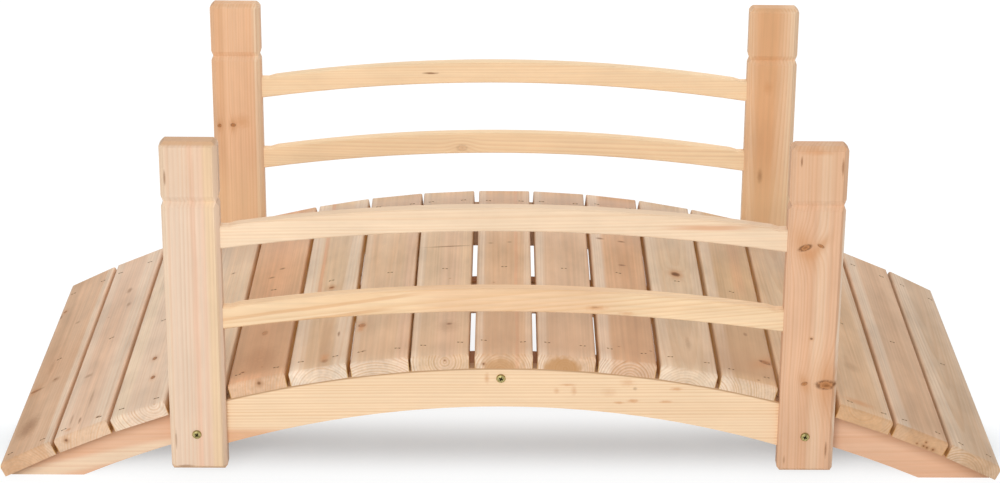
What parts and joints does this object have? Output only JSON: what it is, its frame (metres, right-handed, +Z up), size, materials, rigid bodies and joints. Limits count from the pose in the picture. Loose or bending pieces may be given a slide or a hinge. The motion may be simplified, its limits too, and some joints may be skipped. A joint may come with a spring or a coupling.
{
  "type": "garden footbridge",
  "caption": "Small arched wooden garden footbridge: a curved plank deck on arched beams, with grooved posts and curved rails along both sides.",
  "frame": {"origin": "on the ground under the middle of the deck, at the bottom centre of the bounding box", "axes": "+X along the way over the bridge, +Y across it towards the back railing, +Z up"},
  "size_m": [1.5074, 0.74, 0.5434],
  "materials": {
    "plank": "bare sanded softwood",
    "beam": "bare sanded softwood",
    "arch_board": "bare sanded softwood",
    "pale_post": "bare sanded softwood",
    "tan_post": "bare sanded softwood",
    "dark_post": "bare sanded softwood",
    "rail": "bare sanded softwood"
  },
  "bodies": {
    "root": {"plank_01": "plank", "plank_02": "plank", "plank_03": "plank", "plank_04": "plank", "plank_05": "plank", "plank_06": "plank", "plank_07": "plank", "plank_08": "plank", "plank_09": "plank", "plank_10": "plank", "plank_11": "plank", "plank_12": "plank", "plank_13": "plank", "plank_14": "plank", "plank_15": "plank", "plank_16": "plank", "plank_17": "plank", "front_beam": "beam", "back_beam": "beam", "centre_beam": "beam", "front_arch_board": "arch_board", "back_arch_board": "arch_board", "front_left_post": "pale_post", "front_right_post": "tan_post", "back_left_post": "tan_post", "back_right_post": "dark_post", "front_upper_rail": "rail", "front_lower_rail": "rail", "back_upper_rail": "rail", "back_lower_rail": "rail"}
  },
  "joints": []
}
